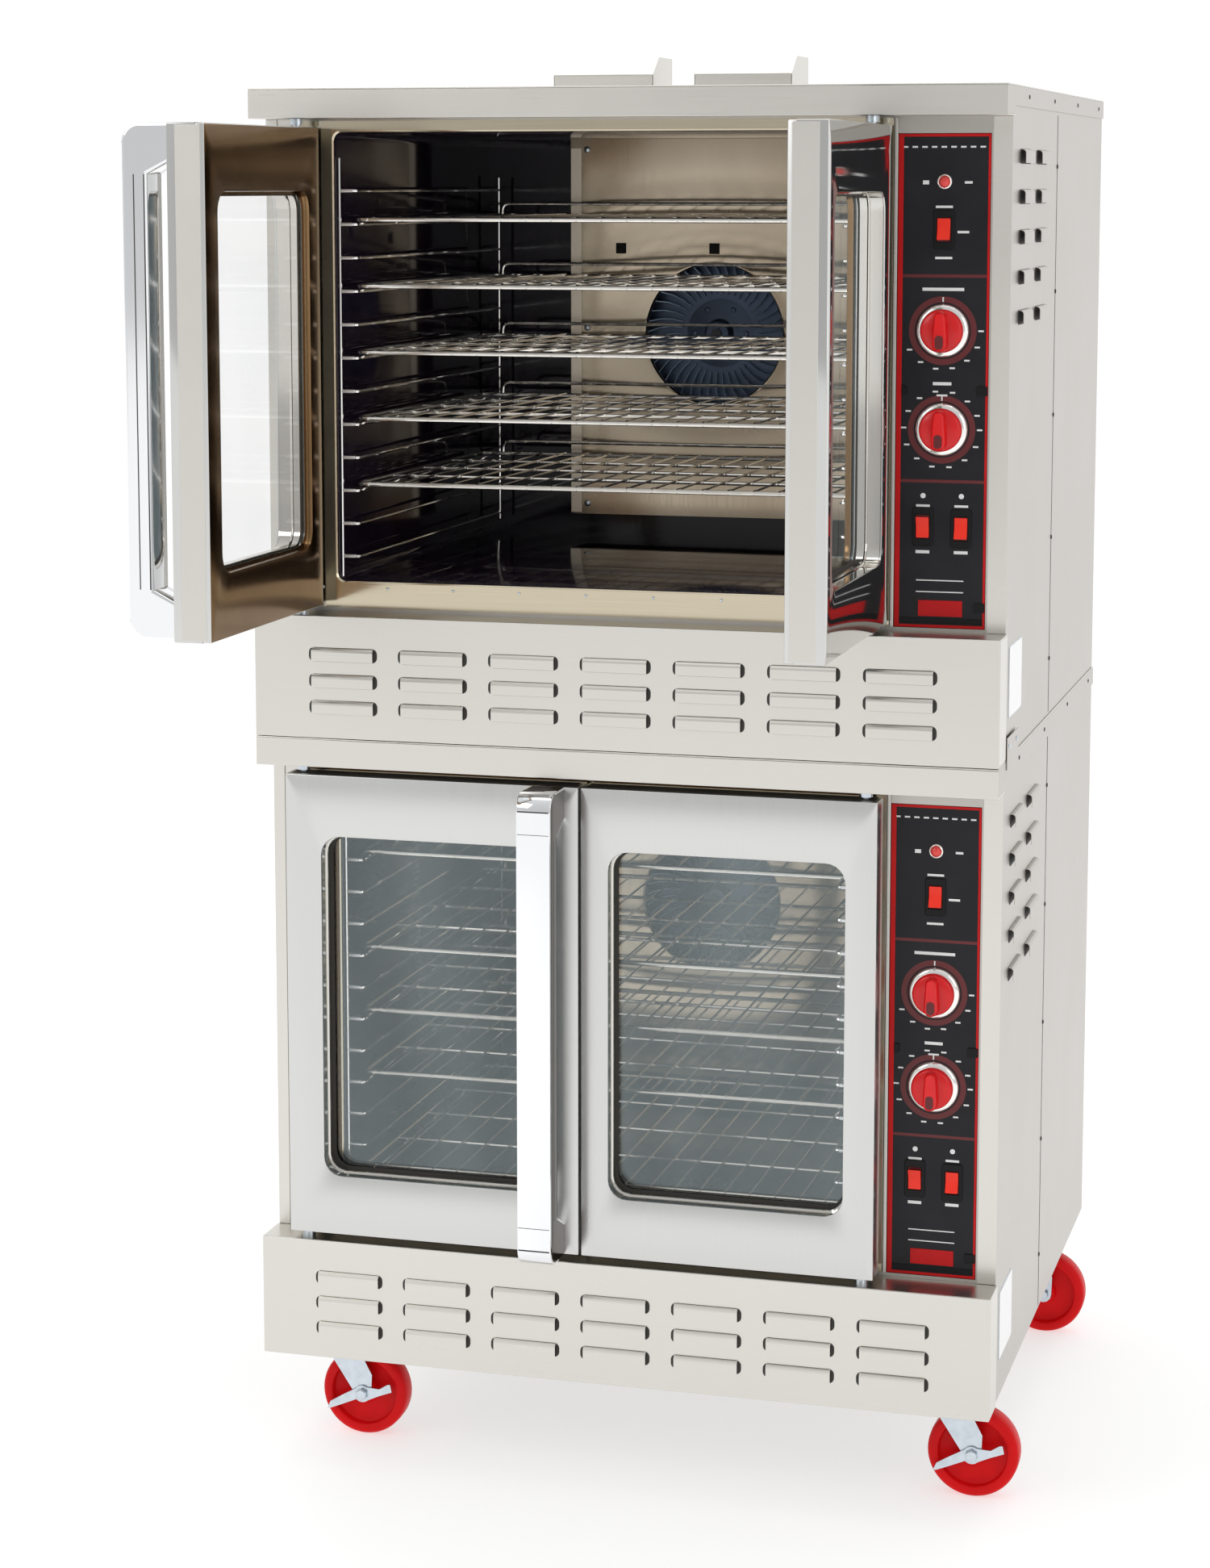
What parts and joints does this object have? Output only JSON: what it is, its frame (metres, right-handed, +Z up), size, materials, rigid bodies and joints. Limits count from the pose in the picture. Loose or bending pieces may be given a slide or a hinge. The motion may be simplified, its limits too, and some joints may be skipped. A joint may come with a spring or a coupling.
{
  "type": "double-deck convection oven",
  "caption": "Double-deck commercial convection oven with paired glazed doors, full-height handles, wire racks, dial and rocker controls, on swivel casters.",
  "frame": {"origin": "centre of the footprint's bounding box with the upper doors open at a right angle, on the floor", "axes": "+X to the right seen from the front, +Y to the back, +Z up"},
  "size_m": [1.0678, 1.33, 1.9647],
  "materials": {
    "satin_steel": "satin",
    "bright_steel": "polished",
    "chrome_wire": "bright plated",
    "zinc": "bright zinc",
    "porcelain": "glossy enamel",
    "blower_paint": "semi-gloss",
    "motor_grey": "matt",
    "control_face": "satin",
    "knob_red": "gloss",
    "rocker_red": "gloss",
    "wheel_red": "satin",
    "oven_glass": "clear"
  },
  "bodies": {
    "cabinet": {"lower_cabinet_shell": "satin_steel", "lower_top_cap": "satin_steel", "lower_louver_panel": "satin_steel", "lower_oven_liner": "porcelain", "lower_fan_baffle": "bright_steel", "lower_fan_motor": "motor_grey", "lower_left_rack_ladder": "chrome_wire", "lower_right_rack_ladder": "chrome_wire", "lower_control_panel": "control_face", "upper_cabinet_shell": "satin_steel", "upper_top_cap": "satin_steel", "upper_louver_panel": "satin_steel", "upper_oven_liner": "porcelain", "upper_fan_baffle": "bright_steel", "upper_fan_motor": "motor_grey", "upper_left_rack_ladder": "chrome_wire", "upper_right_rack_ladder": "chrome_wire", "upper_control_panel": "control_face"},
    "lower_left_door": {"lower_left_door_shell": "satin_steel", "lower_left_door_glass": "oven_glass", "lower_door_handle": "bright_steel"},
    "lower_right_door": {"lower_right_door_shell": "satin_steel", "lower_right_door_glass": "oven_glass"},
    "lower_rack_1": {"lower_rack_1": "chrome_wire"},
    "lower_rack_2": {"lower_rack_2": "chrome_wire"},
    "lower_rack_3": {"lower_rack_3": "chrome_wire"},
    "lower_rack_4": {"lower_rack_4": "chrome_wire"},
    "lower_rack_5": {"lower_rack_5": "chrome_wire"},
    "lower_blower_wheel": {"lower_blower_wheel": "blower_paint"},
    "lower_timer_knob": {"lower_timer_knob": "knob_red"},
    "lower_thermostat_knob": {"lower_thermostat_knob": "knob_red"},
    "lower_power_rocker": {"lower_power_rocker": "rocker_red"},
    "lower_light_rocker": {"lower_light_rocker": "rocker_red"},
    "lower_fan_rocker": {"lower_fan_rocker": "rocker_red"},
    "upper_left_door": {"upper_left_door_shell": "satin_steel", "upper_left_door_glass": "oven_glass", "upper_door_handle": "bright_steel"},
    "upper_right_door": {"upper_right_door_shell": "satin_steel", "upper_right_door_glass": "oven_glass"},
    "upper_rack_1": {"upper_rack_1": "chrome_wire"},
    "upper_rack_2": {"upper_rack_2": "chrome_wire"},
    "upper_rack_3": {"upper_rack_3": "chrome_wire"},
    "upper_rack_4": {"upper_rack_4": "chrome_wire"},
    "upper_rack_5": {"upper_rack_5": "chrome_wire"},
    "upper_blower_wheel": {"upper_blower_wheel": "blower_paint"},
    "upper_timer_knob": {"upper_timer_knob": "knob_red"},
    "upper_thermostat_knob": {"upper_thermostat_knob": "knob_red"},
    "upper_power_rocker": {"upper_power_rocker": "rocker_red"},
    "upper_light_rocker": {"upper_light_rocker": "rocker_red"},
    "upper_fan_rocker": {"upper_fan_rocker": "rocker_red"},
    "front_left_caster": {"front_left_caster_fork": "zinc"},
    "front_left_caster_wheel": {"front_left_caster_wheel": "wheel_red"},
    "front_left_brake_lever": {"front_left_brake_lever": "zinc"},
    "front_right_caster": {"front_right_caster_fork": "zinc"},
    "front_right_caster_wheel": {"front_right_caster_wheel": "wheel_red"},
    "front_right_brake_lever": {"front_right_brake_lever": "zinc"},
    "rear_left_caster": {"rear_left_caster_fork": "zinc"},
    "rear_left_caster_wheel": {"rear_left_caster_wheel": "wheel_red"},
    "rear_right_caster": {"rear_right_caster_fork": "zinc"},
    "rear_right_caster_wheel": {"rear_right_caster_wheel": "wheel_red"}
  },
  "joints": [
    {"name": "lower_left_door_hinge", "type": "hinge", "parent": "cabinet", "child": "lower_left_door", "pos_m": [-0.44386, -0.27, 0.655], "axis": [0, 0, -1], "range_deg": [0, 130]},
    {"name": "lower_right_door_hinge", "type": "hinge", "parent": "cabinet", "child": "lower_right_door", "pos_m": [0.33514, -0.27, 0.655], "axis": [0, 0, 1], "range_deg": [0, 130]},
    {"name": "lower_rack_1_slide", "type": "slide", "parent": "cabinet", "child": "lower_rack_1", "axis": [0, -1, 0], "range_m": [0, 0.03]},
    {"name": "lower_rack_2_slide", "type": "slide", "parent": "cabinet", "child": "lower_rack_2", "axis": [0, -1, 0], "range_m": [0, 0.03]},
    {"name": "lower_rack_3_slide", "type": "slide", "parent": "cabinet", "child": "lower_rack_3", "axis": [0, -1, 0], "range_m": [0, 0.03]},
    {"name": "lower_rack_4_slide", "type": "slide", "parent": "cabinet", "child": "lower_rack_4", "axis": [0, -1, 0], "range_m": [0, 0.03]},
    {"name": "lower_rack_5_slide", "type": "slide", "parent": "cabinet", "child": "lower_rack_5", "axis": [0, -1, 0], "range_m": [0, 0.03]},
    {"name": "lower_blower_spin", "type": "hinge", "parent": "cabinet", "child": "lower_blower_wheel", "pos_m": [-0.03386, 0.435, 0.677], "axis": [0, 1, 0], "continuous": true},
    {"name": "lower_timer_knob_turn", "type": "hinge", "parent": "cabinet", "child": "lower_timer_knob", "pos_m": [0.42214, -0.235, 0.714], "axis": [0, 1, 0], "range_deg": [0, 330]},
    {"name": "lower_thermostat_knob_turn", "type": "hinge", "parent": "cabinet", "child": "lower_thermostat_knob", "pos_m": [0.42214, -0.235, 0.587], "axis": [0, 1, 0], "range_deg": [0, 300]},
    {"name": "lower_power_rocker_tilt", "type": "hinge", "parent": "cabinet", "child": "lower_power_rocker", "pos_m": [0.42214, -0.235, 0.843], "axis": [1, 0, 0], "range_deg": [0, 20]},
    {"name": "lower_light_rocker_tilt", "type": "hinge", "parent": "cabinet", "child": "lower_light_rocker", "pos_m": [0.39914, -0.235, 0.461], "axis": [-1, 0, 0], "range_deg": [0, 20]},
    {"name": "lower_fan_rocker_tilt", "type": "hinge", "parent": "cabinet", "child": "lower_fan_rocker", "pos_m": [0.44914, -0.235, 0.459], "axis": [1, 0, 0], "range_deg": [0, 20]},
    {"name": "upper_left_door_hinge", "type": "hinge", "parent": "cabinet", "child": "upper_left_door", "pos_m": [-0.44386, -0.27, 1.525], "axis": [0, 0, -1], "range_deg": [-90, 40]},
    {"name": "upper_right_door_hinge", "type": "hinge", "parent": "cabinet", "child": "upper_right_door", "pos_m": [0.33514, -0.27, 1.525], "axis": [0, 0, 1], "range_deg": [-90, 40]},
    {"name": "upper_rack_1_slide", "type": "slide", "parent": "cabinet", "child": "upper_rack_1", "axis": [0, -1, 0], "range_m": [0, 0.45]},
    {"name": "upper_rack_2_slide", "type": "slide", "parent": "cabinet", "child": "upper_rack_2", "axis": [0, -1, 0], "range_m": [0, 0.45]},
    {"name": "upper_rack_3_slide", "type": "slide", "parent": "cabinet", "child": "upper_rack_3", "axis": [0, -1, 0], "range_m": [0, 0.45]},
    {"name": "upper_rack_4_slide", "type": "slide", "parent": "cabinet", "child": "upper_rack_4", "axis": [0, -1, 0], "range_m": [0, 0.45]},
    {"name": "upper_rack_5_slide", "type": "slide", "parent": "cabinet", "child": "upper_rack_5", "axis": [0, -1, 0], "range_m": [0, 0.45]},
    {"name": "upper_blower_spin", "type": "hinge", "parent": "cabinet", "child": "upper_blower_wheel", "pos_m": [-0.03386, 0.435, 1.547], "axis": [0, 1, 0], "continuous": true},
    {"name": "upper_timer_knob_turn", "type": "hinge", "parent": "cabinet", "child": "upper_timer_knob", "pos_m": [0.42214, -0.235, 1.584], "axis": [0, 1, 0], "range_deg": [0, 330]},
    {"name": "upper_thermostat_knob_turn", "type": "hinge", "parent": "cabinet", "child": "upper_thermostat_knob", "pos_m": [0.42214, -0.235, 1.457], "axis": [0, 1, 0], "range_deg": [0, 300]},
    {"name": "upper_power_rocker_tilt", "type": "hinge", "parent": "cabinet", "child": "upper_power_rocker", "pos_m": [0.42214, -0.235, 1.713], "axis": [1, 0, 0], "range_deg": [0, 20]},
    {"name": "upper_light_rocker_tilt", "type": "hinge", "parent": "cabinet", "child": "upper_light_rocker", "pos_m": [0.39914, -0.235, 1.331], "axis": [-1, 0, 0], "range_deg": [0, 20]},
    {"name": "upper_fan_rocker_tilt", "type": "hinge", "parent": "cabinet", "child": "upper_fan_rocker", "pos_m": [0.44914, -0.235, 1.329], "axis": [1, 0, 0], "range_deg": [0, 20]},
    {"name": "front_left_caster_swivel", "type": "hinge", "parent": "cabinet", "child": "front_left_caster", "pos_m": [-0.43286, -0.15, 0.15], "axis": [0, 0, 1], "continuous": true},
    {"name": "front_left_caster_wheel_roll", "type": "hinge", "parent": "front_left_caster", "child": "front_left_caster_wheel", "pos_m": [-0.40286, -0.15, 0.06272], "axis": [0, 1, 0], "continuous": true},
    {"name": "front_left_brake_lever_tilt", "type": "hinge", "parent": "front_left_caster", "child": "front_left_brake_lever", "pos_m": [-0.40286, -0.15, 0.06272], "axis": [0, -1, 0], "range_deg": [0, 25]},
    {"name": "front_right_caster_swivel", "type": "hinge", "parent": "cabinet", "child": "front_right_caster", "pos_m": [0.44114, -0.15, 0.15], "axis": [0, 0, 1], "continuous": true},
    {"name": "front_right_caster_wheel_roll", "type": "hinge", "parent": "front_right_caster", "child": "front_right_caster_wheel", "pos_m": [0.47114, -0.15, 0.06272], "axis": [0, 1, 0], "continuous": true},
    {"name": "front_right_brake_lever_tilt", "type": "hinge", "parent": "front_right_caster", "child": "front_right_brake_lever", "pos_m": [0.47114, -0.15, 0.06272], "axis": [0, -1, 0], "range_deg": [0, 25]},
    {"name": "rear_left_caster_swivel", "type": "hinge", "parent": "cabinet", "child": "rear_left_caster", "pos_m": [-0.43286, 0.535, 0.15], "axis": [0, 0, 1], "continuous": true},
    {"name": "rear_left_caster_wheel_roll", "type": "hinge", "parent": "rear_left_caster", "child": "rear_left_caster_wheel", "pos_m": [-0.40286, 0.535, 0.06272], "axis": [0, 1, 0], "continuous": true},
    {"name": "rear_right_caster_swivel", "type": "hinge", "parent": "cabinet", "child": "rear_right_caster", "pos_m": [0.44114, 0.535, 0.15], "axis": [0, 0, 1], "continuous": true},
    {"name": "rear_right_caster_wheel_roll", "type": "hinge", "parent": "rear_right_caster", "child": "rear_right_caster_wheel", "pos_m": [0.47114, 0.535, 0.06272], "axis": [0, 1, 0], "continuous": true}
  ],
  "couplings": [
    {"joint": "lower_right_door_hinge", "follows": "lower_left_door_hinge", "ratio": 1},
    {"joint": "upper_right_door_hinge", "follows": "upper_left_door_hinge", "ratio": 1}
  ]
}
